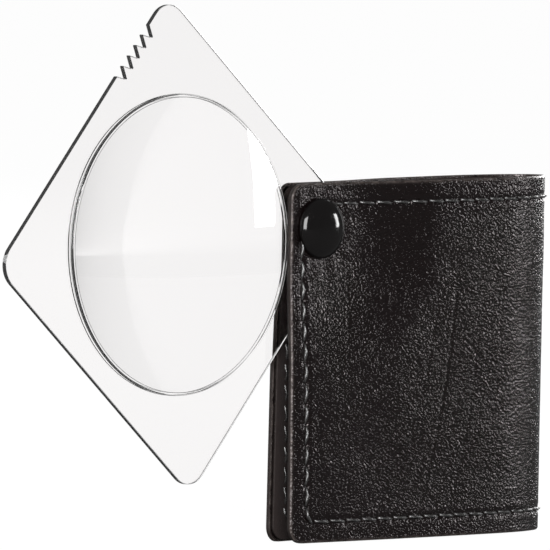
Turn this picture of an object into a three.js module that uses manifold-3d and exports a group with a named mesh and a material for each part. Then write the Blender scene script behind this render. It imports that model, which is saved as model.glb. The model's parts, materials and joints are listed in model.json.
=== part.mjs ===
// Folding pocket magnifier: a square clear plate with a moulded round lens swings on a rivet out of a
// folded leather case. Millimetres, +Z up. X runs along the case from its open side to its fold, Y from
// its front panel to its back panel. The case stands on its lower edge, with the lens swung out.
import * as THREE from "three";
import { mergeVertices } from "three/addons/utils/BufferGeometryUtils.js";
import Module from "manifold-3d";

const wasm = await Module();
wasm.setup();

// ---- Driving dimensions. Plan positions are measured from the rivet's axis. ----
const CASE_HEIGHT = 61.1;
const PIVOT_HEIGHT = 53.4; // rivet axis above the lower edge
const RIVET_X = 7.66; // from the middle of the whole object, lens swung out, to the rivet's axis
const FRONT_EDGE_X = { bottom: -7.9, top: -6.6 }; // open edge of the front panel
const BACK_EDGE_X = { bottom: -6.9, top: -5.2 }; // the back panel is folded a little short
const FOLD_END_X = { bottom: 54.3, top: 55.8 }; // outermost line of the fold, which leans a little
const NOSE_LENGTH = 15; // the fold's half ellipse, along X
const NOSE_HALF_WIDTH = { bottom: 6.9, top: 7.5 };
const EDGE_HALF_WIDTH = { bottom: 3.6, top: 3.1 }; // outer half thickness at the open edges
const PANEL_BOW = 1.7; // exponent of the panels' swelling from the open edge to the fold
const CORNER_RADIUS = 2.7;

const COVER_THICKNESS = 0.9;
const LINING_THICKNESS = 0.5;
const GLUE_LINE = 0.12;
const LINING_SETBACK = 0.4; // the lining stops short of the cover's edges

const PINCH_HALF_WIDTH = 2.85; // outer half thickness where the rivet clamps the case
const PINCH_RADIUS = 7.4;
const PINCH_BLEND = 8;

const SEAM_INSET = 3.6; // stitch line from the case's upper and lower edges
const SEAM_FRONT_X = -4.3; // stitch line up each panel
const SEAM_BACK_X = -3.3;
const THREAD_RADIUS = 0.22;
const THREAD_LIFT = 0.38; // thread centre above the leather
const THREAD_STEP = 2;

const PLATE_SIDE = 60;
const PLATE_THICKNESS = 0.9;
const PLATE_CORNER_RADIUS = 4.3;
const HOLE_INSET = 8; // rivet hole from the plate's two nearest edges
const HOLE_RADIUS = 1.65;
const OPEN_ANGLE = THREE.MathUtils.degToRad(48.6); // turn of the plate's sides in the open position

const NOTCH_COUNT = 5;
const NOTCH_PITCH = 2.3;
const NOTCH_DEPTH = 1.9;
const NOTCH_START = 6.7; // from the plate's sharp corner

const LENS_RADIUS = 25.4;
const LENS_RIM_STEP = 0.45; // lens rim above each face of the plate
const LENS_RIM_WIDTH = 0.5;
const LENS_SAG = 2; // crown above the rim, on each side

const FRONT_CAP_RADIUS = 5.15;
const BACK_CAP_RADIUS = 4.3;
const CAP_RISE = 2.1;
const CAP_RIM = 0.35;
const CAP_SEAT_GAP = 0.1;
const POST_RADIUS = 1.4;
const POST_SOCKET_RADIUS = 1.6;
const POST_GRIP = 1; // depth of the post in each cap
const POST_END_GAP = 0.15;

const WASHER_RADIUS = 4.2;
const WASHER_BORE = 1.65;
const WASHER_THICKNESS = 0.65;

const ROUND_SEGMENTS = 36;
const LENS_SEGMENTS = 72;

// ---- Solids and materials ----
function solid(geometry) {
  const bare = geometry.clone();
  bare.deleteAttribute("normal");
  bare.deleteAttribute("uv");
  const merged = mergeVertices(bare, 1e-4);
  const made = new wasm.Manifold(
    new wasm.Mesh({
      numProp: 3,
      vertProperties: merged.attributes.position.array,
      triVerts: new Uint32Array(merged.index.array),
    }),
  );
  return made;
}

function geometryOf(manifold) {
  const mesh = manifold.getMesh();
  const geometry = new THREE.BufferGeometry();
  geometry.setAttribute("position", new THREE.BufferAttribute(mesh.vertProperties, 3));
  geometry.setIndex(new THREE.BufferAttribute(mesh.triVerts, 1));
  geometry.computeVertexNormals();
  return geometry;
}

function material(color, roughness, metalness = 0, more = {}) {
  return new THREE.MeshStandardMaterial({ color, roughness, metalness, ...more });
}

const leather = material(0x1d1a1c, 0.5);
const liningCloth = material(0x1a1513, 0.7);
const thread = material(0x2a2a2d, 0.6);
const acrylic = material(0xf0ecea, 0.05, 0, { transparent: true, opacity: 0.35 });
const blackLacquer = material(0x0c0c0d, 0.15);
const steel = material(0xa9a9a6, 0.35, 1);
const nylon = material(0xd8d6cf, 0.5);

const magnifier = new THREE.Group();

function addMesh(parent, name, geometry, meshMaterial) {
  const mesh = new THREE.Mesh(geometry, meshMaterial);
  mesh.name = name;
  parent.add(mesh);
  return mesh;
}

// ---- The case's wrapped surface ----
// Its plan is a teardrop: each panel swells from its open edge to a half ellipse at the fold.
// "along" runs 0 to 1 from the front panel's open edge, round the fold, to the back panel's.
const FRONT_SHARE = 0.36;
const BACK_SHARE = 1 - FRONT_SHARE;
function between(pair, height) {
  return THREE.MathUtils.lerp(pair.bottom, pair.top, height / CASE_HEIGHT);
}

function noseCentreX(height) {
  return between(FOLD_END_X, height) - NOSE_LENGTH;
}

function halfWidth(x, edgeX, height) {
  const share = THREE.MathUtils.clamp((x - edgeX) / (noseCentreX(height) - edgeX), 0, 1);
  const edge = between(EDGE_HALF_WIDTH, height);
  const full = between(NOSE_HALF_WIDTH, height);
  const swelling = 1 - (1 - share) ** PANEL_BOW;
  const free = edge + (full - edge) * swelling;
  const fromRivet = Math.hypot(x, height - PIVOT_HEIGHT);
  const pinch = 1 - THREE.MathUtils.smoothstep(fromRivet, PINCH_RADIUS, PINCH_RADIUS + PINCH_BLEND);
  return THREE.MathUtils.lerp(free, PINCH_HALF_WIDTH, pinch);
}

function caseOutline(along, height) {
  const noseX = noseCentreX(height);
  if (along < FRONT_SHARE) {
    const edgeX = between(FRONT_EDGE_X, height);
    const x = THREE.MathUtils.lerp(edgeX, noseX, along / FRONT_SHARE);
    return new THREE.Vector3(x, -halfWidth(x, edgeX, height), height);
  }
  if (along > BACK_SHARE) {
    const edgeX = between(BACK_EDGE_X, height);
    const x = THREE.MathUtils.lerp(edgeX, noseX, (1 - along) / FRONT_SHARE);
    return new THREE.Vector3(x, halfWidth(x, edgeX, height), height);
  }
  const turn = Math.PI * ((along - FRONT_SHARE) / (BACK_SHARE - FRONT_SHARE) - 0.5);
  const wide = between(NOSE_HALF_WIDTH, height);
  return new THREE.Vector3(noseX + NOSE_LENGTH * Math.cos(turn), wide * Math.sin(turn), height);
}

// A point of the case: "lift" is measured outwards from the cover's outer face, level with the ground.
function casePoint(along, height, lift) {
  const reach = 1e-3;
  const tangent = caseOutline(Math.min(along + reach, 1), height).sub(
    caseOutline(Math.max(along - reach, 0), height),
  );
  const outward = new THREE.Vector3(tangent.y, -tangent.x, 0).normalize();
  return caseOutline(along, height).addScaledVector(outward, lift);
}

// One layer of the case is a grid of points on its outer face and the same grid on its inner face, both
// with the same diagonals, so that layers that follow each other stay an even distance apart.
const WRAP_COLUMNS = 44;
const WRAP_ROWS = 18;

function wrappedLayer(outerLift, innerLift, setback) {
  const points = [];
  for (const lift of [outerLift, innerLift]) {
    for (let row = 0; row <= WRAP_ROWS; row++) {
      const level = (CASE_HEIGHT * row) / WRAP_ROWS;
      const height = THREE.MathUtils.clamp(level, setback, CASE_HEIGHT - setback);
      const endSetback = (FRONT_SHARE * setback) / (noseCentreX(height) - between(FRONT_EDGE_X, height));
      for (let column = 0; column <= WRAP_COLUMNS; column++) {
        const along = THREE.MathUtils.clamp(column / WRAP_COLUMNS, endSetback, 1 - endSetback);
        points.push(casePoint(along, height, lift));
      }
    }
  }
  const faces = [];
  const layerSize = (WRAP_COLUMNS + 1) * (WRAP_ROWS + 1);
  const outer = (row, column) => row * (WRAP_COLUMNS + 1) + column;
  const inner = (row, column) => layerSize + outer(row, column);
  const quad = (a, b, c, d) => faces.push(a, b, c, a, c, d);
  for (let row = 0; row < WRAP_ROWS; row++) {
    for (let column = 0; column < WRAP_COLUMNS; column++) {
      const corners = [[row, column], [row, column + 1], [row + 1, column + 1], [row + 1, column]];
      const [a, b, c, d] = corners.map(([r, k]) => outer(r, k));
      const [e, f, g, h] = corners.map(([r, k]) => inner(r, k));
      faces.push(a, b, c, a, c, d);
      faces.push(e, g, f, e, h, g);
    }
    const last = WRAP_COLUMNS;
    quad(outer(row, last), inner(row, last), inner(row + 1, last), outer(row + 1, last));
    quad(inner(row, 0), outer(row, 0), outer(row + 1, 0), inner(row + 1, 0));
  }
  for (let column = 0; column < WRAP_COLUMNS; column++) {
    const top = WRAP_ROWS;
    quad(outer(0, column), inner(0, column), inner(0, column + 1), outer(0, column + 1));
    quad(outer(top, column), outer(top, column + 1), inner(top, column + 1), inner(top, column));
  }
  const geometry = new THREE.BufferGeometry().setFromPoints(points);
  geometry.setIndex(faces);
  return solid(geometry);
}

// Cuts one open-side corner of one panel round. side is -1 for the front panel and 1 for the back.
function cornerCutter(edgeX, isTop, side, setback) {
  const radius = CORNER_RADIUS;
  const margin = 2;
  const shape = new THREE.Shape();
  shape.moveTo(-margin, radius);
  shape.lineTo(0, radius);
  shape.absarc(radius, radius, radius, Math.PI, 1.5 * Math.PI, false);
  shape.lineTo(radius, -margin);
  shape.lineTo(-margin, -margin);
  const depth = 12;
  const cutter = new THREE.ExtrudeGeometry(shape, { depth, bevelEnabled: false, curveSegments: 8 });
  cutter.rotateX(Math.PI / 2);
  cutter.translate(0, side > 0 ? depth + 0.2 : -0.2, 0);
  const made = solid(cutter);
  const upright = isTop ? made.mirror([0, 0, 1]) : made;
  return upright.translate([edgeX + setback, 0, isTop ? CASE_HEIGHT - setback : setback]);
}

function roundBore(radius, length) {
  const bore = new THREE.CylinderGeometry(radius, radius, length, ROUND_SEGMENTS);
  return solid(bore);
}

function caseLayer(outerLift, innerLift, setback) {
  let layer = wrappedLayer(outerLift, innerLift, setback);
  for (const isTop of [false, true]) {
    const end = isTop ? "top" : "bottom";
    layer = layer.subtract(cornerCutter(FRONT_EDGE_X[end], isTop, -1, setback));
    layer = layer.subtract(cornerCutter(BACK_EDGE_X[end], isTop, 1, setback));
  }
  return layer.subtract(roundBore(POST_SOCKET_RADIUS, 20).translate([0, 0, PIVOT_HEIGHT]));
}

const liningLift = -(COVER_THICKNESS + GLUE_LINE);
const innerLift = liningLift - LINING_THICKNESS;

const casing = new THREE.Group();
magnifier.add(casing);
addMesh(casing, "leather_cover", geometryOf(caseLayer(0, -COVER_THICKNESS, 0)), leather);
addMesh(
  casing,
  "lining",
  geometryOf(caseLayer(liningLift, innerLift, LINING_SETBACK)),
  liningCloth,
);

// ---- Stitching: a lockstitch has one thread outside the cover and one inside the lining ----
const panelLength = noseCentreX(0) - FRONT_EDGE_X.bottom;
const WRAP_LENGTH = 2 * panelLength + 2.4 * NOSE_LENGTH; // developed length, about

class SeamCurve extends THREE.Curve {
  // stops is a list of [along, height] corners joined by straight runs on the wrapped surface.
  constructor(stops, lift) {
    super();
    this.stops = stops;
    this.lift = lift;
    this.route = new THREE.CurvePath();
    for (let i = 1; i < stops.length; i++) {
      const [start, end] = [stops[i - 1], stops[i]].map(([a, h]) => new THREE.Vector2(a * WRAP_LENGTH, h));
      this.route.add(new THREE.LineCurve(start, end));
    }
  }

  getPoint(t, target = new THREE.Vector3()) {
    const spot = this.route.getPoint(t);
    return target.copy(casePoint(spot.x / WRAP_LENGTH, spot.y, this.lift));
  }
}

function alongAtX(x, height, isBack) {
  const edgeX = between(isBack ? BACK_EDGE_X : FRONT_EDGE_X, height);
  const share = (FRONT_SHARE * (x - edgeX)) / (noseCentreX(height) - edgeX);
  return isBack ? 1 - share : share;
}

const seamBottom = SEAM_INSET;
const seamTop = CASE_HEIGHT - SEAM_INSET;
const CAP_CLEARANCE = 0.7; // from the end of each run to the cap that it disappears under

// How far a stitch line that passes a cap's centre at "offset" keeps from it, along the line.
function besideCap(capRadius, offset) {
  return Math.sqrt((capRadius + CAP_CLEARANCE) ** 2 - offset ** 2);
}

// The stitch line runs into the rivet's caps, so it is an upper run and a lower run.
function upperStops() {
  const rise = seamTop - PIVOT_HEIGHT;
  return [
    [alongAtX(besideCap(FRONT_CAP_RADIUS, rise), seamTop, false), seamTop],
    [alongAtX(besideCap(BACK_CAP_RADIUS, rise), seamTop, true), seamTop],
  ];
}

function lowerStops() {
  const frontTop = PIVOT_HEIGHT - besideCap(FRONT_CAP_RADIUS, SEAM_FRONT_X);
  const backTop = PIVOT_HEIGHT - besideCap(BACK_CAP_RADIUS, SEAM_BACK_X) - 0.3;
  const corner = seamBottom + 1; // the line turns its lower corners below this height
  const cornerShare = 0.008;
  return [
    [alongAtX(SEAM_FRONT_X, frontTop, false), frontTop],
    [alongAtX(SEAM_FRONT_X, corner, false), corner],
    [alongAtX(SEAM_FRONT_X, seamBottom, false) + cornerShare, seamBottom],
    [alongAtX(SEAM_BACK_X, seamBottom, true) - cornerShare, seamBottom],
    [alongAtX(SEAM_BACK_X, corner, true), corner],
    [alongAtX(SEAM_BACK_X, backTop, true), backTop],
  ];
}

function seamThread(stops, lift) {
  const curve = new SeamCurve(stops, lift);
  const section = new THREE.Shape();
  section.absarc(0, 0, THREAD_RADIUS, 0, 2 * Math.PI, false);
  return new THREE.ExtrudeGeometry(section, {
    extrudePath: curve,
    steps: Math.round(curve.getLength() / THREAD_STEP),
    curveSegments: 3,
    bevelEnabled: false,
  });
}

const insideLift = innerLift - THREAD_LIFT;
addMesh(casing, "upper_top_thread", seamThread(upperStops(), THREAD_LIFT), thread);
addMesh(casing, "lower_top_thread", seamThread(lowerStops(), THREAD_LIFT), thread);
addMesh(casing, "upper_bobbin_thread", seamThread(upperStops(), insideLift), thread);
addMesh(casing, "lower_bobbin_thread", seamThread(lowerStops(), insideLift), thread);

// ---- Rivet: a post through every layer, with a domed cap pressed on each end ----
const pivot = new THREE.Group();
pivot.position.z = PIVOT_HEIGHT;
magnifier.add(pivot);

// A profile is a list of [radius, distance]. The lathe's axis is turned to run along Y, outwards on the
// side given: -1 is the front and 1 is the back.
function turned(profile, side) {
  const points = profile.map(([radius, distance]) => new THREE.Vector2(radius, distance));
  const lathe = new THREE.LatheGeometry(points, ROUND_SEGMENTS);
  if (side < 0) lathe.rotateX(Math.PI);
  return lathe;
}

function domedCap(radius, side) {
  const seat = PINCH_HALF_WIDTH + CAP_SEAT_GAP;
  const profile = [
    [0, seat + POST_GRIP],
    [POST_SOCKET_RADIUS, seat + POST_GRIP],
    [POST_SOCKET_RADIUS, seat],
    [radius - 0.1, seat],
    [radius, seat + 0.1],
    [radius, seat + CAP_RIM],
  ];
  const domeSteps = 8;
  for (let i = 1; i <= domeSteps; i++) {
    const turn = (i / domeSteps) * 0.5 * Math.PI;
    const reach = i === domeSteps ? 0 : radius * Math.cos(turn);
    profile.push([reach, seat + CAP_RIM + (CAP_RISE - CAP_RIM) * Math.sin(turn)]);
  }
  return turned(profile, side);
}

addMesh(pivot, "front_cap", domedCap(FRONT_CAP_RADIUS, -1), blackLacquer);
addMesh(pivot, "back_cap", domedCap(BACK_CAP_RADIUS, 1), blackLacquer);

const postLength = 2 * (PINCH_HALF_WIDTH + CAP_SEAT_GAP + POST_GRIP - POST_END_GAP);
const post = new THREE.CylinderGeometry(POST_RADIUS, POST_RADIUS, postLength, ROUND_SEGMENTS);
addMesh(pivot, "rivet_post", post, steel);

const washerCentre = (PLATE_THICKNESS / 2 + PINCH_HALF_WIDTH + innerLift) / 2;

function washer(side) {
  const low = washerCentre - WASHER_THICKNESS / 2;
  const high = washerCentre + WASHER_THICKNESS / 2;
  const profile = [
    [WASHER_BORE, low],
    [WASHER_RADIUS, low],
    [WASHER_RADIUS, high],
    [WASHER_BORE, high],
    [WASHER_BORE, low],
  ];
  return turned(profile, side);
}

addMesh(pivot, "front_washer", washer(-1), nylon);
addMesh(pivot, "back_washer", washer(1), nylon);

// ---- Lens plate: one moulding, a rounded square with finger notches and a biconvex lens ----
// Its own frame has the plate's centre at the origin, with the rivet's corner at +X, -Z.
function plateOutline() {
  const half = PLATE_SIDE / 2;
  const inner = half - PLATE_CORNER_RADIUS;
  const shape = new THREE.Shape();
  shape.moveTo(-inner, -half);
  shape.absarc(inner, -inner, PLATE_CORNER_RADIUS, -0.5 * Math.PI, 0, false);
  shape.absarc(inner, inner, PLATE_CORNER_RADIUS, 0, 0.5 * Math.PI, false);
  for (let i = 0; i < NOTCH_COUNT; i++) {
    const start = half - NOTCH_START - i * NOTCH_PITCH;
    shape.lineTo(start, half);
    shape.lineTo(start - NOTCH_PITCH / 2, half - NOTCH_DEPTH);
  }
  shape.lineTo(half - NOTCH_START - NOTCH_COUNT * NOTCH_PITCH, half);
  shape.absarc(-inner, inner, PLATE_CORNER_RADIUS, 0.5 * Math.PI, Math.PI, false);
  shape.absarc(-inner, -inner, PLATE_CORNER_RADIUS, Math.PI, 1.5 * Math.PI, false);
  const hole = new THREE.Path();
  hole.absarc(half - HOLE_INSET, HOLE_INSET - half, HOLE_RADIUS, 0, 2 * Math.PI, true);
  shape.holes.push(hole);
  return shape;
}

function lensProfile() {
  const rim = PLATE_THICKNESS / 2 + LENS_RIM_STEP;
  const glassRadius = LENS_RADIUS - LENS_RIM_WIDTH;
  const curveRadius = (glassRadius ** 2 + LENS_SAG ** 2) / (2 * LENS_SAG);
  const edgeTurn = Math.asin(glassRadius / curveRadius);
  const upper = [[LENS_RADIUS, rim]];
  const steps = 9;
  for (let i = 0; i <= steps; i++) {
    const turn = edgeTurn * (1 - i / steps);
    const crown = curveRadius * (Math.cos(turn) - Math.cos(edgeTurn));
    upper.push([curveRadius * Math.sin(turn), rim + crown]);
  }
  const lower = upper.map(([radius, y]) => [radius, -y]).reverse();
  return [...lower, ...upper];
}

function lensPlate() {
  const plate = new THREE.ExtrudeGeometry(plateOutline(), {
    depth: PLATE_THICKNESS,
    bevelEnabled: false,
    curveSegments: 10,
  });
  plate.translate(0, 0, -PLATE_THICKNESS / 2);
  plate.rotateX(Math.PI / 2);
  const profile = lensProfile().map(([radius, y]) => new THREE.Vector2(radius, y));
  const lens = new THREE.LatheGeometry(profile, LENS_SEGMENTS);
  return geometryOf(solid(plate).add(solid(lens)));
}

const swing = new THREE.Group(); // turns about the rivet
swing.rotation.y = -OPEN_ANGLE;
pivot.add(swing);
const plateMesh = addMesh(swing, "lens_plate", lensPlate(), acrylic);
plateMesh.position.set(HOLE_INSET - PLATE_SIDE / 2, 0, PLATE_SIDE / 2 - HOLE_INSET);

// ---- The origin is under the middle of the whole object, on the surface that it stands on ----
magnifier.position.x = RIVET_X;

export default magnifier;
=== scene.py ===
"""A folding pocket magnifier: a clear moulded lens plate on a rivet in a folded, stitched leather case."""

import json
from math import asin, cos, pi, radians, sin, sqrt

import bmesh
import bpy
import numpy as np
from mathutils import Matrix, Vector, kdtree, noise


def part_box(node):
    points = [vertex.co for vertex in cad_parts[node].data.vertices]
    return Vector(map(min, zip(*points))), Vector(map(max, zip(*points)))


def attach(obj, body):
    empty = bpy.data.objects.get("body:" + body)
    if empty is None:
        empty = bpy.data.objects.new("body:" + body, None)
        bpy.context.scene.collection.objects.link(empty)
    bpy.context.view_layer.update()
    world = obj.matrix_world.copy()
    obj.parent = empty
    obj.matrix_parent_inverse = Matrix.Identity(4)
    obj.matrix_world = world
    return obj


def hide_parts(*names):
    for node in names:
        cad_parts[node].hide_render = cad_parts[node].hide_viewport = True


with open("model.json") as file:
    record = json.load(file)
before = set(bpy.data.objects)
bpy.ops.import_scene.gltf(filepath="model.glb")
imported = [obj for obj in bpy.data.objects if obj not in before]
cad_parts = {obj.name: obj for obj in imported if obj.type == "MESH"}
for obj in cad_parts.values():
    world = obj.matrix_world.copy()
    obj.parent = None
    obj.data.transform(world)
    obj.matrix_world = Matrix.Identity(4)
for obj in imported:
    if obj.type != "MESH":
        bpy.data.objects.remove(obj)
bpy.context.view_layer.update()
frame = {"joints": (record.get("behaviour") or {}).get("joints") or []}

# ---- Sizes in millimetres. Plan positions are measured from the rivet's axis. ----
MM = 0.001
rivet = Vector(frame["joints"][0]["pos_m"]) / MM


def node_box(name):
    low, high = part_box(name)
    return Vector(low) / MM, Vector(high) / MM


CASE_HEIGHT = node_box("leather_cover")[1].z
FRONT_EDGE_X = (-7.9, -6.6)  # at the bottom and at the top, as in the pairs below
BACK_EDGE_X = (-6.9, -5.2)
FOLD_END_X = (54.3, 55.8)
NOSE_HALF_WIDTH = (6.9, 7.5)
EDGE_HALF_WIDTH = (3.6, 3.1)
NOSE_LENGTH = 15
PANEL_BOW = 1.7
CORNER_RADIUS = 2.7

COVER_THICKNESS = 0.9
LINING_THICKNESS = 0.5
GLUE_LINE = 0.12
LINING_SETBACK = 0.4
LINING_LIFT = -(COVER_THICKNESS + GLUE_LINE)
INNER_LIFT = LINING_LIFT - LINING_THICKNESS

PINCH_HALF_WIDTH = 2.85
PINCH_RADIUS = 5.5
PINCH_BLEND = 21

SEAM_INSET = 3.6
SEAM_FRONT_X = -4.3
SEAM_BACK_X = -3.3
STITCH_PITCH = 3.5
STITCH_GAP = 0.22  # from a needle hole to the end of the visible stitch
STITCH_DIP = 0.42
STITCH_LEAN = 0.13
TOP_THREAD_LIFT = 0.15
BOBBIN_THREAD_LIFT = INNER_LIFT - 0.1
THREAD_RADIUS = 0.27
THREAD_TAPER = 0.35  # of the radius left at a stitch's ends
PLY_RELIEF = 0.16
PLY_TWIST = 9
CAP_COVERS = 0.5  # how far inside a cap's rim a stitch line ends
BACK_CAP_SHOULDER = 3.6  # height above the rivet where the upper run ends beside the back cap

PLATE_SIDE = 60
PLATE_THICKNESS = 0.9
PLATE_CORNER_RADIUS = 4.3
HOLE_INSET = 8
HOLE_RADIUS = 1.65
OPEN_ANGLE = radians(48.6)
NOTCH_COUNT = 5
NOTCH_PITCH = 2.3
NOTCH_DEPTH = 1.9
NOTCH_START = 6.7
LENS_RADIUS = 25.4
LENS_RIM_STEP = 0.45
LENS_RIM_WIDTH = 0.5
LENS_SAG = 2
SOFT_EDGE = 0.09

FRONT_CAP_RADIUS = 5.15
BACK_CAP_RADIUS = 4.3
CAP_SEAT = PINCH_HALF_WIDTH + 0.1
CAP_RISE = 2.1
CAP_FULLNESS = 0.8  # under 1 makes the dome's shoulder fuller
POST_RADIUS = 1.4
POST_CHAMFER = 0.2

WAVE_HEIGHT = 0.13
PUCKER_RADIUS = 7.2
PUCKER_HEIGHT = 0.1
PUCKER_RIPPLE = 0.04
SEAM_DEPTH = 0.1
SEAM_BANK = 0.03
HOLE_DEPTH = 0.26
EDGE_ROUNDING = 0.22
EDGE_ROUND_WIDTH = 0.34

FRONT_SHARE = 0.36  # of the way round the case that each flat panel takes


# ---- Mesh and node helpers ----
def new_object(name, points, faces, body, replaced, materials, face_slots=None):
    """A smooth-shaded mesh object from points in millimetres, measured from the rivet in plan."""
    mesh = bpy.data.meshes.new(name)
    shifted = np.asarray(points, dtype=float) + np.array([rivet.x, rivet.y, 0])
    mesh.from_pydata((shifted * MM).tolist(), [], faces)
    for material in materials:
        mesh.materials.append(material)
    if face_slots is not None:
        mesh.polygons.foreach_set("material_index", face_slots)
    mesh.polygons.foreach_set("use_smooth", [True] * len(mesh.polygons))
    mesh.update()
    piece = bpy.data.objects.new(name, mesh)
    bpy.context.scene.collection.objects.link(piece)
    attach(piece, body)
    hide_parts(replaced)
    return piece


def point_attribute(piece, name, values):
    attribute = piece.data.attributes.new(name, "FLOAT", "POINT")
    attribute.data.foreach_set("value", np.asarray(values, dtype=float).ravel())


class Nodes:
    """Short calls for building one material's node tree."""

    def __init__(self, name):
        self.material = bpy.data.materials.new(name)
        self.material.use_nodes = True
        self.tree = self.material.node_tree
        self.shader = self.tree.nodes["Principled BSDF"]
        coordinates = self.tree.nodes.new("ShaderNodeTexCoord")
        self.place = coordinates.outputs["Object"]

    def make(self, kind, inputs=(), **settings):
        node = self.tree.nodes.new(kind)
        for key, value in settings.items():
            setattr(node, key, value)
        for key, value in dict(inputs).items():
            self.give(node.inputs[key], value)
        return node

    def give(self, socket, value):
        if isinstance(value, bpy.types.NodeSocket):
            self.tree.links.new(value, socket)
        else:
            socket.default_value = value

    def set(self, **inputs):
        for key, value in inputs.items():
            self.give(self.shader.inputs[key.replace("_", " ")], value)

    def stretched(self, scale=(1, 1, 1), turn=(0, 0, 0)):
        turned = self.make("ShaderNodeMapping", {"Vector": self.place, "Rotation": turn})
        return self.make("ShaderNodeMapping", {"Vector": turned.outputs[0], "Scale": scale}).outputs[0]

    def noise(self, scale, detail=3, vector=None, roughness=0.5):
        inputs = {"Vector": vector or self.place, "Scale": scale, "Detail": detail, "Roughness": roughness}
        return self.make("ShaderNodeTexNoise", inputs).outputs["Fac"]

    def cells(self, scale, vector=None, feature="SMOOTH_F1"):
        inputs = {"Vector": vector or self.place, "Scale": scale}
        return self.make("ShaderNodeTexVoronoi", inputs, feature=feature).outputs["Distance"]

    def ramp(self, value, low, high, to_low=0.0, to_high=1.0):
        inputs = {"Value": value, 1: low, 2: high, 3: to_low, 4: to_high}
        return self.make("ShaderNodeMapRange", inputs).outputs[0]

    def math(self, operation, a, b):
        return self.make("ShaderNodeMath", {0: a, 1: b}, operation=operation).outputs[0]

    def mix(self, share, a, b):
        node = self.make("ShaderNodeMix", data_type="RGBA")
        self.give(node.inputs[0], share)
        self.give(node.inputs[6], a)
        self.give(node.inputs[7], b)
        return node.outputs[2]

    def attribute(self, name):
        return self.make("ShaderNodeAttribute", attribute_name=name).outputs["Fac"]

    def bump(self, height, distance, strength=1.0, under=None):
        inputs = {"Height": height, "Distance": distance, "Strength": strength}
        if under is not None:
            inputs["Normal"] = under
        return self.make("ShaderNodeBump", inputs).outputs[0]


def rgb(red, green, blue):
    return (red, green, blue, 1)


# ---- Materials ----
def leather_material():
    """Black grained leather: fine pebbles that catch the light, long pull marks, hollows between the pebbles
    painted darker as shade, and edges painted lighter, partly as rubbed wear and partly as a painted
    highlight along the arris.
    """
    n = Nodes("black_leather")
    drift = n.make("ShaderNodeTexNoise", {"Vector": n.place, "Scale": 1300, "Detail": 2})
    warped = n.make("ShaderNodeVectorMath", {0: drift.outputs["Color"]}, operation="SCALE")
    warped.inputs["Scale"].default_value = 0.0005
    shifted = n.make("ShaderNodeVectorMath", {0: n.place, 1: warped.outputs[0]}, operation="ADD")
    grain_place = shifted.outputs[0]
    pebbles = n.ramp(n.cells(2800, grain_place), 0.05, 0.7, 1, 0)
    fine = n.noise(6400, 3)
    coarse = n.noise(620, 3)
    pulls_place = n.stretched((420, 420, 26), (0, radians(12), 0))
    pulls = n.make("ShaderNodeTexNoise", {"Vector": pulls_place, "Scale": 1, "Detail": 2}).outputs["Fac"]
    pull_lines = n.ramp(n.math("ABSOLUTE", n.math("SUBTRACT", pulls, 0.5), 0), 0, 0.008, 1, 0)
    pull_patches = n.ramp(n.noise(60, 1), 0.52, 0.68)
    pull_marks = n.math("MULTIPLY", pull_lines, pull_patches)
    grain = n.bump(pebbles, 0.000075, 1.0)
    grain = n.bump(coarse, 0.00012, 0.07, grain)
    grain = n.bump(fine, 0.00005, 0.3, grain)
    grain = n.bump(n.math("MULTIPLY", pull_marks, -1), 0.00005, 0.5, grain)
    edge = n.attribute("edge")
    # The lighter edge colour is partly rubbed wear and partly a painted highlight where the cut arris would
    # catch the light.
    edge_wear_and_highlight = n.math("MULTIPLY", edge, n.ramp(n.noise(900, 3), 0.3, 0.65))
    tone = n.mix(n.noise(240, 3), rgb(0.0034, 0.0018, 0.0018), rgb(0.006, 0.0034, 0.0034))
    # Painted shade: the hollows between the pebbles are coloured darker than the pebbles' tops.
    tone = n.mix(n.ramp(pebbles, 0.2, 0.65, 0.7, 0), tone, rgb(0.0026, 0.0015, 0.0015))
    tone = n.mix(n.math("MULTIPLY", edge_wear_and_highlight, 0.7), tone, rgb(0.14, 0.115, 0.105))
    rough = n.ramp(pebbles, 0.15, 0.9, 0.22, 0.12)
    rough = n.math("ADD", rough, n.math("MULTIPLY", edge, 0.15))
    n.set(Base_Color=tone, Roughness=rough, Normal=grain, Specular_IOR_Level=0.6)
    n.set(Specular_Tint=rgb(1.0, 0.91, 0.91))
    return n.material


def cut_edge_material():
    """The fibrous cut edge of the leather, dyed and burnished."""
    n = Nodes("leather_cut_edge")
    fibres = n.noise(2600, 4)
    tone = n.mix(fibres, rgb(0.012, 0.0085, 0.008), rgb(0.035, 0.026, 0.023))
    n.set(Base_Color=tone, Roughness=n.ramp(fibres, 0.3, 0.7, 0.55, 0.8), Normal=n.bump(fibres, 0.0002, 0.6))
    n.set(Specular_IOR_Level=0.3)
    return n.material


def lining_material():
    """Thin brown-black imitation leather with a fine print."""
    n = Nodes("dark_lining")
    print_cells = n.cells(3400)
    tone = n.mix(n.noise(500, 3), rgb(0.014, 0.0085, 0.008), rgb(0.03, 0.019, 0.017))
    n.set(Base_Color=tone, Roughness=n.ramp(print_cells, 0, 0.8, 0.55, 0.8))
    n.set(Normal=n.bump(print_cells, 0.0001, 0.5), Specular_IOR_Level=0.3, Sheen_Weight=0.1)
    return n.material


def thread_material():
    """Bonded black sewing thread with a waxy shine on its fibres."""
    n = Nodes("black_thread")
    fibres = n.noise(9000, 2)
    tone = n.mix(fibres, rgb(0.012, 0.011, 0.011), rgb(0.034, 0.032, 0.031))
    n.set(Base_Color=tone, Roughness=n.ramp(fibres, 0.3, 0.7, 0.2, 0.34), Normal=n.bump(fibres, 0.00008, 0.5))
    n.set(Specular_IOR_Level=1.0, IOR=1.75)
    return n.material


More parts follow.
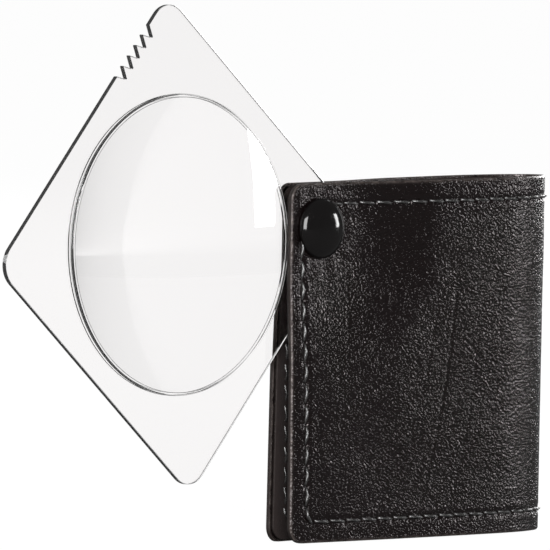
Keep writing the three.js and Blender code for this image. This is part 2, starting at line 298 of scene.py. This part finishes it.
def clear_material():
    """Clear moulded acrylic, with faint handling marks and a trace of flow ripple."""
    n = Nodes("clear_acrylic")
    ripple = n.noise(38, 1)
    haze = n.ramp(n.noise(130, 4), 0.45, 0.8, 0.006, 0.03)
    n.set(Base_Color=rgb(0.958, 0.946, 0.944), Roughness=haze, Normal=n.bump(ripple, 0.00005, 0.25))
    n.set(Transmission_Weight=1.0, IOR=1.49)
    return n.material


def clear_edge_material():
    """The plate's narrow side faces, coloured grey as painted shade for the dark lines that refraction shows
    along the plate's edges, and satin.
    """
    n = Nodes("acrylic_edge_painted_shade")
    drag = n.noise(2200, 2)
    # Painted shade: this grey tone stands in for the dark lines that refraction draws at the plate's edges.
    tone = n.mix(drag, rgb(0.22, 0.22, 0.22), rgb(0.36, 0.36, 0.36))
    n.set(Base_Color=tone, Roughness=n.ramp(drag, 0.3, 0.7, 0.06, 0.18), Normal=n.bump(drag, 0.00003, 0.3))
    n.set(Transmission_Weight=0.85, IOR=1.49)
    return n.material


def lacquer_material():
    """Glossy black lacquer on the pressed cap."""
    n = Nodes("black_lacquer")
    peel = n.noise(900, 2)
    marks = n.ramp(n.noise(2600, 3), 0.45, 0.75, 0.07, 0.16)
    tone = n.mix(peel, rgb(0.0045, 0.004, 0.004), rgb(0.0062, 0.0055, 0.0055))
    n.set(Base_Color=tone, Roughness=marks, Normal=n.bump(peel, 0.00003, 0.25))
    n.set(Specular_IOR_Level=0.5)
    return n.material


def steel_material():
    n = Nodes("plated_steel")
    turning_place = n.stretched((600, 9000, 600))
    turning = n.make("ShaderNodeTexNoise", {"Vector": turning_place, "Scale": 1}).outputs["Fac"]
    tone = n.mix(turning, rgb(0.42, 0.42, 0.4), rgb(0.6, 0.6, 0.58))
    n.set(Base_Color=tone, Metallic=1.0, Roughness=n.ramp(turning, 0.3, 0.7, 0.22, 0.42))
    n.set(Normal=n.bump(turning, 0.00003, 0.3))
    return n.material


def nylon_material():
    n = Nodes("nylon")
    mottle = n.noise(1600, 3)
    tone = n.mix(mottle, rgb(0.6, 0.59, 0.54), rgb(0.72, 0.71, 0.67))
    n.set(Base_Color=tone, Roughness=n.ramp(mottle, 0.3, 0.7, 0.38, 0.55))
    n.set(Normal=n.bump(mottle, 0.00005, 0.3))
    return n.material


leather = leather_material()
cut_edge = cut_edge_material()
lining_look = lining_material()
thread_look = thread_material()
clear = clear_material()
clear_edge = clear_edge_material()
lacquer = lacquer_material()
steel = steel_material()
nylon = nylon_material()


# ---- The case's wrapped surface, as arrays ----
def between(pair, height):
    return pair[0] + (pair[1] - pair[0]) * height / CASE_HEIGHT


def smoothstep(value, low, high):
    share = np.clip((value - low) / (high - low), 0, 1)
    return share * share * (3 - 2 * share)


def nose_centre_x(height):
    return between(FOLD_END_X, height) - NOSE_LENGTH


def half_width(x, edge_x, height):
    share = np.clip((x - edge_x) / (nose_centre_x(height) - edge_x), 0, 1)
    edge = between(EDGE_HALF_WIDTH, height)
    full = between(NOSE_HALF_WIDTH, height)
    free = edge + (full - edge) * (1 - (1 - share) ** PANEL_BOW)
    pinch = 1 - smoothstep(np.hypot(x, height - rivet.z), PINCH_RADIUS, PINCH_RADIUS + PINCH_BLEND)
    return free + (PINCH_HALF_WIDTH - free) * pinch


def case_outline(along, height):
    """Points of the cover's outer face. along runs 0 to 1 from the front's open edge round to the back's."""
    front_edge = between(FRONT_EDGE_X, height)
    back_edge = between(BACK_EDGE_X, height)
    nose_centre = nose_centre_x(height)
    front_x = front_edge + (nose_centre - front_edge) * along / FRONT_SHARE
    back_x = back_edge + (nose_centre - back_edge) * (1 - along) / FRONT_SHARE
    turn = pi * ((along - FRONT_SHARE) / (1 - 2 * FRONT_SHARE) - 0.5)
    on_front = along < FRONT_SHARE
    on_back = along > 1 - FRONT_SHARE
    nose_x = nose_centre + NOSE_LENGTH * np.cos(turn)
    nose_y = between(NOSE_HALF_WIDTH, height) * np.sin(turn)
    x = np.where(on_front, front_x, np.where(on_back, back_x, nose_x))
    front_y = -half_width(front_x, front_edge, height)
    back_y = half_width(back_x, back_edge, height)
    y = np.where(on_front, front_y, np.where(on_back, back_y, nose_y))
    return x, y


def case_point(along, height, lift):
    """Points at that lift outwards from the cover's outer face, level with the ground."""
    reach = 1e-3
    x0, y0 = case_outline(along - reach, height)
    x1, y1 = case_outline(along + reach, height)
    x, y = case_outline(along, height)
    length = np.hypot(x1 - x0, y1 - y0)
    return np.stack([x + lift * (y1 - y0) / length, y - lift * (x1 - x0) / length, height + 0 * x], axis=-1)


def along_at(x, height, is_back):
    edge_x = between(BACK_EDGE_X if is_back else FRONT_EDGE_X, height)
    share = FRONT_SHARE * (x - edge_x) / (nose_centre_x(height) - edge_x)
    return 1 - share if is_back else share


# ---- The stitch line ----
SEAM_BOTTOM = SEAM_INSET
SEAM_TOP = CASE_HEIGHT - SEAM_INSET


def beside_cap(cap_radius, offset):
    return sqrt((cap_radius - CAP_COVERS) ** 2 - offset ** 2)


def upper_stops():
    rise = SEAM_TOP - rivet.z
    return [
        (along_at(beside_cap(FRONT_CAP_RADIUS, rise), SEAM_TOP, False), SEAM_TOP),
        (along_at(beside_cap(BACK_CAP_RADIUS, BACK_CAP_SHOULDER), SEAM_TOP, True), SEAM_TOP),
    ]


def lower_stops():
    front_top = rivet.z - beside_cap(FRONT_CAP_RADIUS, SEAM_FRONT_X)
    back_top = rivet.z - beside_cap(BACK_CAP_RADIUS, SEAM_BACK_X)
    corner = SEAM_BOTTOM + 1
    corner_share = 0.008
    return [
        (along_at(SEAM_FRONT_X, front_top, False), front_top),
        (along_at(SEAM_FRONT_X, corner, False), corner),
        (along_at(SEAM_FRONT_X, SEAM_BOTTOM, False) + corner_share, SEAM_BOTTOM),
        (along_at(SEAM_BACK_X, SEAM_BOTTOM, True) - corner_share, SEAM_BOTTOM),
        (along_at(SEAM_BACK_X, corner, True), corner),
        (along_at(SEAM_BACK_X, back_top, True), back_top),
    ]


class Seam:
    """A run of the stitch line: it gives the spot at any share of its length."""

    def __init__(self, stops):
        along, height = [], []
        for (a0, h0), (a1, h1) in zip(stops, stops[1:]):
            steps = max(8, int(600 * (abs(a1 - a0) + abs(h1 - h0) / 150)))
            along.append(np.linspace(a0, a1, steps))
            height.append(np.linspace(h0, h1, steps))
        self.along = np.concatenate(along)
        self.height = np.concatenate(height)
        self.points = case_point(self.along, self.height, 0)
        self.travel = np.concatenate([[0], np.cumsum(np.linalg.norm(np.diff(self.points, axis=0), axis=1))])
        self.length = self.travel[-1]
        self.stitches = round(self.length / STITCH_PITCH)
        self.holes = np.linspace(0, self.length, self.stitches + 1)

    def spot(self, travel):
        return np.interp(travel, self.travel, self.along), np.interp(travel, self.travel, self.height)


seams = {"upper": Seam(upper_stops()), "lower": Seam(lower_stops())}


def tree_of(points):
    tree = kdtree.KDTree(len(points))
    for i, point in enumerate(points):
        tree.insert(point, i)
    tree.balance()
    return tree


seam_tree = tree_of(np.concatenate([s.points for s in seams.values()]))
hole_tree = tree_of(np.concatenate([case_point(*s.spot(s.holes), 0) for s in seams.values()]))


def distances(tree, points):
    return np.array([tree.find(point)[2] for point in points])


# ---- Leather and lining ----
# Long creases pressed into the front panel, as start and end in plan x and height, and bend and depth.
CREASES = (
    ((29.5, 48), (20, 3), 1.5, 0.09),
    ((17.5, 56), (14.8, 38), -0.6, 0.07),
    ((6.2, 50), (4.6, 30), 0.5, 0.05),
    ((34, 34), (27, 4), 1.2, 0.06),
    ((24.5, 40), (18.5, 18), 0.8, 0.05),
)


def crease_depth(x, height):
    depth = np.zeros_like(x)
    for (x0, h0), (x1, h1), bend, deep in CREASES:
        share = np.clip((height - h0) / (h1 - h0), 0, 1)
        line_x = x0 + (x1 - x0) * share + bend * np.sin(pi * share)
        fade = np.sin(pi * share) ** 0.5 * ((height - h0) * (height - h1) < 0)
        depth += deep * fade * np.exp(-(((x - line_x) / 0.32) ** 2))
    return depth


def cover_relief(points, along, edge_distance):
    """Lift of the outer face off the plain shape: seam channel, holes, puckers, creases and waviness."""
    flat = points.reshape(-1, 3)
    seam = distances(seam_tree, flat).reshape(along.shape)
    hole = distances(hole_tree, flat).reshape(along.shape)
    waves = np.array([noise.noise(p * 0.055) + 0.5 * noise.noise(p * 0.14) for p in map(Vector, flat)])
    x, height = points[..., 0], points[..., 2]
    from_rivet = np.hypot(x, height - rivet.z)
    bearing = np.arctan2(height - rivet.z, x)
    pucker = np.exp(-(((from_rivet - PUCKER_RADIUS) / 1.6) ** 2))
    pucker *= PUCKER_HEIGHT + PUCKER_RIPPLE * np.sin(11 * bearing + 1.3)
    calm = smoothstep(edge_distance, 0, 6) * smoothstep(from_rivet, 5, 12)
    lift = WAVE_HEIGHT * waves.reshape(along.shape) * calm
    lift += pucker * smoothstep(edge_distance, 0, 2)
    lift -= SEAM_DEPTH * np.exp(-((seam / 0.55) ** 2))
    lift += SEAM_BANK * np.exp(-(((seam - 1.2) / 0.6) ** 2))
    lift -= HOLE_DEPTH * np.exp(-((hole / 0.42) ** 2))
    lift -= crease_depth(x, height) * (along < FRONT_SHARE)
    lift -= EDGE_ROUNDING * (1 - smoothstep(edge_distance, 0, EDGE_ROUND_WIDTH)) ** 1.5
    return lift


def corner_inset(height, setback):
    """How far a rounded corner takes an open edge back at that height."""
    from_end = np.minimum(height, CASE_HEIGHT - height) - setback
    inside = np.clip(CORNER_RADIUS - from_end, 0, CORNER_RADIUS)
    return CORNER_RADIUS - np.sqrt(CORNER_RADIUS ** 2 - inside ** 2) + setback


def row_heights(setback, spacing):
    """Heights of the grid's rows: even steps along the corners' arcs, then even steps up the edge."""
    arc = CORNER_RADIUS * (1 - np.cos(np.linspace(0, pi / 2, 14)))
    low = setback + arc
    middle_count = int((CASE_HEIGHT - 2 * (setback + CORNER_RADIUS)) / spacing)
    middle = np.linspace(low[-1], CASE_HEIGHT - low[-1], middle_count)[1:-1]
    return np.concatenate([low, middle, CASE_HEIGHT - low[::-1]])


def column_shares(count):
    """Even columns, with a few close ones at both ends to round the open edges."""
    close = np.array([0, 0.0006, 0.0014, 0.0026, 0.0045])
    even = np.linspace(0.0075, 1 - 0.0075, count)
    return np.concatenate([close, even, 1 - close[::-1]])


def case_grid(setback, spacing, columns):
    height = row_heights(setback, spacing)[:, None]
    inset = corner_inset(height, setback)
    start = FRONT_SHARE * inset / (nose_centre_x(height) - between(FRONT_EDGE_X, height))
    end = FRONT_SHARE * inset / (nose_centre_x(height) - between(BACK_EDGE_X, height))
    along = start + (1 - start - end) * column_shares(columns)[None, :]
    return along, np.broadcast_to(height, along.shape)


def shell_faces(rows, columns):
    """Faces of a closed shell of two grids, outer first, and which of them are the cut rim."""
    index = np.arange(rows * columns).reshape(rows, columns)
    inner = index + rows * columns

    def quads(a, b, c, d):
        return np.stack([q.ravel() for q in (a, b, c, d)], axis=1)

    outer_faces = quads(index[:-1, :-1], index[:-1, 1:], index[1:, 1:], index[1:, :-1])
    inner_faces = quads(inner[:-1, :-1], inner[1:, :-1], inner[1:, 1:], inner[:-1, 1:])
    rim = np.concatenate([
        quads(index[0, :-1], inner[0, :-1], inner[0, 1:], index[0, 1:]),
        quads(index[-1, :-1], index[-1, 1:], inner[-1, 1:], inner[-1, :-1]),
        quads(index[:-1, 0], index[1:, 0], inner[1:, 0], inner[:-1, 0]),
        quads(index[:-1, -1], inner[:-1, -1], inner[1:, -1], index[1:, -1]),
    ])
    faces = np.concatenate([outer_faces, inner_faces, rim])
    is_rim = np.zeros(len(faces), dtype=int)
    is_rim[-len(rim):] = 1
    return faces.tolist(), is_rim


def edge_distance_of(points, along, height, setback):
    """Distance of each grid point from the nearest cut edge of its panel."""
    to_end = np.minimum(height, CASE_HEIGHT - height) - setback
    steps = np.linalg.norm(np.diff(points, axis=1), axis=2)
    travel = np.concatenate([np.zeros((len(points), 1)), np.cumsum(steps, axis=1)], axis=1)
    to_side = np.minimum(travel, travel[:, -1:] - travel)
    return np.minimum(to_end, to_side)


def make_cover():
    along, height = case_grid(0, 0.27, 520)
    plain = case_point(along, height, 0)
    edge_distance = edge_distance_of(plain, along, height, 0)
    outer = case_point(along, height, cover_relief(plain, along, edge_distance))
    inner = case_point(along, height, -COVER_THICKNESS)
    faces, is_rim = shell_faces(*along.shape)
    points = np.concatenate([outer.reshape(-1, 3), inner.reshape(-1, 3)])
    looks = [leather, cut_edge]
    cover = new_object(
        "grained_leather_cover", points, faces, "case", "leather_cover", looks, is_rim
    )
    # Mask for the lighter edge colour: partly rubbed wear, partly a painted highlight along the arris.
    edge_wear_and_highlight_mask = np.exp(-((edge_distance / 0.32) ** 2)).ravel()
    point_attribute(cover, "edge", np.concatenate([edge_wear_and_highlight_mask, edge_wear_and_highlight_mask]))


def make_lining():
    along, height = case_grid(LINING_SETBACK, 0.7, 200)
    plain = case_point(along, height, 0)
    seam = distances(seam_tree, plain.reshape(-1, 3)).reshape(along.shape)
    channel = 0.1 * np.exp(-((seam / 0.9) ** 2))
    outer = case_point(along, height, LINING_LIFT)
    inner = case_point(along, height, INNER_LIFT + channel)
    faces, is_rim = shell_faces(*along.shape)
    points = np.concatenate([outer.reshape(-1, 3), inner.reshape(-1, 3)])
    new_object(
        "case_lining", points, faces, "case", "lining", [lining_look, cut_edge], is_rim
    )


def make_stitches(run, side):
    """The visible stitches of one thread: short twisted two-ply lengths that dip into the holes."""
    seam = seams[run]
    sides, steps = 10, 14
    lift = TOP_THREAD_LIFT if side == "top" else BOBBIN_THREAD_LIFT
    outward = 1 if side == "top" else -1
    points, faces = [], []
    for start, end in zip(seam.holes, seam.holes[1:]):
        share = np.linspace(0, 1, steps)
        travel = start + STITCH_GAP + (end - start - 2 * STITCH_GAP) * share
        along, height = seam.spot(travel)
        rise = np.sin(pi * share) ** 0.75
        centre = case_point(along, height, lift - outward * STITCH_DIP * (1 - rise))
        ahead = np.gradient(centre, axis=0)
        ahead /= np.linalg.norm(ahead, axis=1)[:, None]
        off_surface = case_point(along, height, 1.0) - case_point(along, height, 0.0)
        across = np.cross(ahead, off_surface)
        across /= np.linalg.norm(across, axis=1)[:, None]
        normal = np.cross(across, ahead)
        centre = centre + across * (STITCH_LEAN * (share[:, None] - 0.5) * 2)
        first = len(points)
        swell = np.sin(pi * np.clip(share, 0.02, 0.98)) ** 0.3
        thickness = THREAD_RADIUS * (THREAD_TAPER + (1 - THREAD_TAPER) * swell)
        for i in range(steps):
            for k in range(sides):
                angle = 2 * pi * k / sides
                ply = 1 + PLY_RELIEF * cos(2 * angle - PLY_TWIST * share[i])
                spoke = across[i] * cos(angle) + normal[i] * sin(angle)
                points.append(centre[i] + spoke * thickness[i] * ply)
        for i in range(steps - 1):
            for k in range(sides):
                a = first + i * sides + k
                b = first + i * sides + (k + 1) % sides
                faces.append([a, b, b + sides, a + sides])
        faces.append([first + k for k in reversed(range(sides))])
        faces.append([first + (steps - 1) * sides + k for k in range(sides)])
    new_object(
        f"{run}_{side}_stitches", points, faces, "case", f"{run}_{side}_thread", [thread_look]
    )


make_cover()
make_lining()
for run in seams:
    for side in ("top", "bobbin"):
        make_stitches(run, side)


# ---- Rivet ----
def make_turned(name, profile, side, node, material, segments=96):
    """A turned piece about the rivet's axis. profile is [radius, distance outwards] from axis to axis."""
    points, faces = [], []
    rings = []
    for radius, distance in profile:
        if radius == 0:
            rings.append([len(points)])
            points.append((0, side * distance, rivet.z))
            continue
        rings.append(list(range(len(points), len(points) + segments)))
        for k in range(segments):
            angle = side * 2 * pi * k / segments
            points.append((radius * cos(angle), side * distance, rivet.z + radius * sin(angle)))
    closed = profile[0][0] > 0
    pairs = list(zip(rings, rings[1:])) + ([(rings[-1], rings[0])] if closed else [])
    for low, high in pairs:
        for k in range(segments):
            n = (k + 1) % segments
            if len(low) == 1:
                faces.append([low[0], high[k], high[n]])
            elif len(high) == 1:
                faces.append([low[n], low[k], high[0]])
            else:
                faces.append([low[n], low[k], high[k], high[n]])
    piece = new_object(name, points, faces, "case", node, [material])
    piece.data.set_sharp_from_angle(angle=radians(40))


def cap_profile(radius):
    """A pressed cap: post socket, flat seat, and a full dome whose edge tucks into the leather."""
    seat, socket, grip = CAP_SEAT, 1.6, 1
    turn_in = 0.25
    rim_steps, dome_steps = 6, 32
    profile = [(0, seat + grip), (socket, seat + grip), (socket, seat), (radius - turn_in, seat)]
    for i in range(1, rim_steps + 1):
        turn = pi / 2 * (i / rim_steps - 1)
        profile.append((radius - turn_in * (1 - cos(turn)), seat + turn_in * (1 + sin(turn))))
    crown = CAP_RISE - turn_in
    for i in range(1, dome_steps + 1):
        turn = i / dome_steps * pi / 2
        reach = 0 if i == dome_steps else radius * cos(turn) ** CAP_FULLNESS
        profile.append((reach, seat + turn_in + crown * sin(turn)))
    return profile


def ring_profile(inner, outer, low, high):
    soft = 0.08
    return [
        (inner, low + soft), (inner + soft, low), (outer - soft, low), (outer, low + soft),
        (outer, high - soft), (outer - soft, high), (inner + soft, high), (inner, high - soft),
    ]


post_low, post_high = node_box("rivet_post")
make_turned("front_rivet_cap", cap_profile(FRONT_CAP_RADIUS), -1, "front_cap", lacquer)
make_turned("back_rivet_cap", cap_profile(BACK_CAP_RADIUS), 1, "back_cap", lacquer)
post_profile = [
    (0, post_low.y), (POST_RADIUS - POST_CHAMFER, post_low.y), (POST_RADIUS, post_low.y + POST_CHAMFER),
    (POST_RADIUS, post_high.y - POST_CHAMFER), (POST_RADIUS - POST_CHAMFER, post_high.y), (0, post_high.y),
]
make_turned("turned_rivet_post", post_profile, 1, "rivet_post", steel)
washer_low, washer_high = node_box("back_washer")
washer_radius = (washer_high.x - washer_low.x) / 2
washer_profile = ring_profile(HOLE_RADIUS, washer_radius, washer_low.y, washer_high.y)
make_turned("front_spacer", washer_profile, -1, "front_washer", nylon)
make_turned("back_spacer", washer_profile, 1, "back_washer", nylon)


# ---- Lens plate ----
def arc(centre_x, centre_z, radius, start, end, steps):
    turns = [start + (end - start) * i / steps for i in range(steps + 1)]
    return [(centre_x + radius * cos(turn), centre_z + radius * sin(turn)) for turn in turns]


def plate_outline():
    """The square's outline, anticlockwise, with the rivet's corner at +x, -z and the notches near +x, +z."""
    half = PLATE_SIDE / 2
    inner = half - PLATE_CORNER_RADIUS
    points = arc(inner, -inner, PLATE_CORNER_RADIUS, -pi / 2, 0, 20)
    points += arc(inner, inner, PLATE_CORNER_RADIUS, 0, pi / 2, 20)
    tip = 0.16  # flat left on each tip and root
    for i in range(NOTCH_COUNT):
        start = half - NOTCH_START - i * NOTCH_PITCH
        root = start - NOTCH_PITCH / 2
        floor_z = half - NOTCH_DEPTH
        points += [(start - tip / 2, half), (root + tip / 2, floor_z), (root - tip / 2, floor_z)]
        points.append((start - NOTCH_PITCH + tip / 2, half))
    points += arc(-inner, inner, PLATE_CORNER_RADIUS, pi / 2, pi, 20)
    points += arc(-inner, -inner, PLATE_CORNER_RADIUS, pi, 1.5 * pi, 20)
    return np.array(points)


def inset_outline(points, distance):
    """The outline moved inwards along each corner's bisector."""
    before, after = np.roll(points, 1, axis=0), np.roll(points, -1, axis=0)

    def unit(vector):
        return vector / np.linalg.norm(vector, axis=1)[:, None]

    first, second = unit(points - before), unit(after - points)
    normal_a = np.stack([-first[:, 1], first[:, 0]], axis=1)
    normal_b = np.stack([-second[:, 1], second[:, 0]], axis=1)
    bisector = unit(normal_a + normal_b)
    stretch = np.clip(np.sum(bisector * normal_a, axis=1), 0.35, 1)
    return points + bisector * (distance / stretch)[:, None]


def make_lens_plate():
    """One closed moulding: a front and a back half of the same form, joined round the side and the hole."""
    half = PLATE_THICKNESS / 2
    rim = half + LENS_RIM_STEP
    segments, lens_steps = 240, 40
    outline = plate_outline()
    outline_face = inset_outline(outline, SOFT_EDGE)
    glass = LENS_RADIUS - LENS_RIM_WIDTH
    curve_radius = (glass ** 2 + LENS_SAG ** 2) / (2 * LENS_SAG)
    edge_turn = asin(glass / curve_radius)
    lens_rings = [
        (LENS_RADIUS + 0.12, half), (LENS_RADIUS + 0.02, half + 0.08), (LENS_RADIUS, rim - 0.1),
        (LENS_RADIUS - 0.1, rim), (glass + 0.12, rim), (glass + 0.02, rim - 0.05),
    ]
    for i in range(lens_steps):
        turn = edge_turn * (1 - i / lens_steps)
        lens_rings.append((curve_radius * sin(turn), rim + curve_radius * (cos(turn) - cos(edge_turn))))
    hole_rings = [(HOLE_RADIUS + SOFT_EDGE, half), (HOLE_RADIUS, half - SOFT_EDGE)]
    hole_centre = (PLATE_SIDE / 2 - HOLE_INSET, HOLE_INSET - PLATE_SIDE / 2)
    bm = bmesh.new()

    def ring(radius, depth, centre=(0, 0), count=segments):
        turns = [2 * pi * k / count for k in range(count)]
        return [
            bm.verts.new((centre[0] + radius * cos(turn), depth, centre[1] + radius * sin(turn)))
            for turn in turns
        ]

    def loop_edges(loop):
        return [bm.edges.new((a, b)) for a, b in zip(loop, loop[1:] + loop[:1])]

    def bridge(low, high, material_index=0):
        for k in range(len(low)):
            n = (k + 1) % len(low)
            bm.faces.new((low[k], low[n], high[n], high[k])).material_index = material_index

    halves = {}
    for side in (-1, 1):
        face_loop = [bm.verts.new((x, side * half, z)) for x, z in outline_face]
        side_loop = [bm.verts.new((x, side * (half - SOFT_EDGE), z)) for x, z in outline]
        rings = [ring(radius, side * depth) for radius, depth in lens_rings]
        holes = [ring(radius, side * depth, hole_centre, 64) for radius, depth in hole_rings]
        edges = loop_edges(face_loop) + loop_edges(rings[0]) + loop_edges(holes[0])
        bmesh.ops.triangle_fill(bm, use_beauty=True, edges=edges)
        bridge(side_loop, face_loop, 1)
        for i, (low, high) in enumerate(zip(rings, rings[1:])):
            bridge(low, high, 1 if i in (0, 1, 4, 5) else 0)
        centre = bm.verts.new((0, side * (rim + LENS_SAG), 0))
        for k in range(segments):
            bm.faces.new((rings[-1][k], rings[-1][(k + 1) % segments], centre))
        bridge(holes[0], holes[1], 1)
        halves[side] = (side_loop, holes[1])
    bridge(halves[-1][0], halves[1][0], 1)
    bridge(halves[-1][1], halves[1][1], 1)
    bmesh.ops.recalc_face_normals(bm, faces=bm.faces)
    turn = Matrix.Rotation(-OPEN_ANGLE, 4, "Y")
    to_centre = turn @ Vector((HOLE_INSET - PLATE_SIDE / 2, 0, PLATE_SIDE / 2 - HOLE_INSET))
    bm.transform(Matrix.Translation(to_centre + Vector((0, 0, rivet.z))) @ turn)
    points = [v.co[:] for v in bm.verts]
    bm.verts.index_update()
    faces = [[v.index for v in f.verts] for f in bm.faces]
    slots = [f.material_index for f in bm.faces]
    bm.free()
    plate = new_object(
        "moulded_lens_plate", points, faces, "lens", "lens_plate", [clear, clear_edge], slots
    )
    plate.data.set_sharp_from_angle(angle=radians(22))


make_lens_plate()


# ---- Floor, light and camera ----
BACKGROUND = 1.0  # brightness of the white studio where the camera sees it, directly or through the plate
FLOOR_GLOW = 0.975
FLOOR_REACH = 14  # metres
AMBIENT = 0.09  # brightness of both where they light the object or are reflected in it


def seen_or_lighting(tree, seen, lighting):
    """A strength: seen where the camera looks at it, also through acrylic, and lighting elsewhere."""
    path = tree.nodes.new("ShaderNodeLightPath")
    either = tree.nodes.new("ShaderNodeMath")
    either.operation = "MAXIMUM"
    tree.links.new(path.outputs["Is Camera Ray"], either.inputs[0])
    tree.links.new(path.outputs["Is Transmission Ray"], either.inputs[1])
    choice = tree.nodes.new("ShaderNodeMapRange")
    tree.links.new(either.outputs[0], choice.inputs["Value"])
    choice.inputs["To Min"].default_value = lighting
    choice.inputs["To Max"].default_value = seen
    return choice.outputs[0]


def make_floor():
    """A wide floor, lit from below like a light table. It is white by its glow; its own colour is dark."""
    n = Nodes("pale_floor")
    n.set(Base_Color=n.mix(n.noise(3, 2), rgb(0.06, 0.06, 0.06), rgb(0.065, 0.065, 0.065)))
    n.set(Roughness=0.9, Specular_IOR_Level=0.0)
    n.set(Emission_Color=rgb(1, 1, 1), Emission_Strength=seen_or_lighting(n.tree, FLOOR_GLOW, AMBIENT))
    reach = FLOOR_REACH
    mesh = bpy.data.meshes.new("floor")
    corners = [(-reach, -reach, 0), (reach, -reach, 0), (reach, reach, 0), (-reach, reach, 0)]
    mesh.from_pydata(corners, [], [(0, 1, 2, 3)])
    mesh.materials.append(n.material)
    floor = bpy.data.objects.new("floor", mesh)
    bpy.context.scene.collection.objects.link(floor)


def make_softbox(name, place, aim, width, height, power):
    light = bpy.data.lights.new(name, "AREA")
    light.shape = "RECTANGLE"
    light.size, light.size_y, light.energy = width, height, power
    box = bpy.data.objects.new(name, light)
    box.location = place
    box.rotation_mode = "QUATERNION"
    box.rotation_quaternion = (Vector(aim) - Vector(place)).to_track_quat("-Z", "Y")
    box.visible_camera = False
    box.visible_transmission = False
    bpy.context.scene.collection.objects.link(box)


def make_world():
    """A white background in a studio that lights the object softly."""
    world = bpy.data.worlds.new("studio")
    bpy.context.scene.world = world
    world.use_nodes = True
    background = world.node_tree.nodes["Background"]
    background.inputs["Color"].default_value = rgb(1, 1, 1)
    strength = seen_or_lighting(world.node_tree, BACKGROUND, AMBIENT)
    world.node_tree.links.new(strength, background.inputs["Strength"])


CAMERA_AZIMUTH = radians(-44.7)
CAMERA_ELEVATION = radians(2.5)
CAMERA_DISTANCE = 2.6
VIEW_WIDTH = 0.0928  # width of the view at the lens plate, in metres
VIEW_RIGHT_OF_LENS = 0.0164  # the middle of the view, from the lens's centre
VIEW_BELOW_LENS = 0.0051


def make_camera():
    back = Vector((
        sin(CAMERA_AZIMUTH) * cos(CAMERA_ELEVATION),
        -cos(CAMERA_AZIMUTH) * cos(CAMERA_ELEVATION),
        sin(CAMERA_ELEVATION),
    ))
    turn = (-back).to_track_quat("-Z", "Y")
    low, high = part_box("lens_plate")
    aim = (Vector(low) + Vector(high)) / 2
    aim += turn @ Vector((VIEW_RIGHT_OF_LENS, -VIEW_BELOW_LENS, 0))
    data = bpy.data.cameras.new("camera")
    data.lens = data.sensor_width * CAMERA_DISTANCE / VIEW_WIDTH
    data.clip_end = 100
    camera = bpy.data.objects.new("camera", data)
    camera.location = aim + back * CAMERA_DISTANCE
    camera.rotation_mode = "QUATERNION"
    camera.rotation_quaternion = turn
    bpy.context.scene.collection.objects.link(camera)
    bpy.context.scene.camera = camera


make_floor()
make_world()
middle = (0.02, 0, 0.04)
make_softbox("left_softbox", (-0.6, -0.67, 0.3), middle, 0.55, 0.58, 11)
make_softbox("right_softbox", (1.4, -0.8, 0.19), middle, 0.22, 0.34, 3.3)
make_softbox("back_softbox", (1.3, 0.5, 0.5), middle, 0.5, 0.9, 12)
make_softbox("rear_softbox", (-1.1, 1.3, 0.6), middle, 0.7, 0.7, 10)
make_camera()
bpy.context.scene.view_settings.view_transform = "Standard"
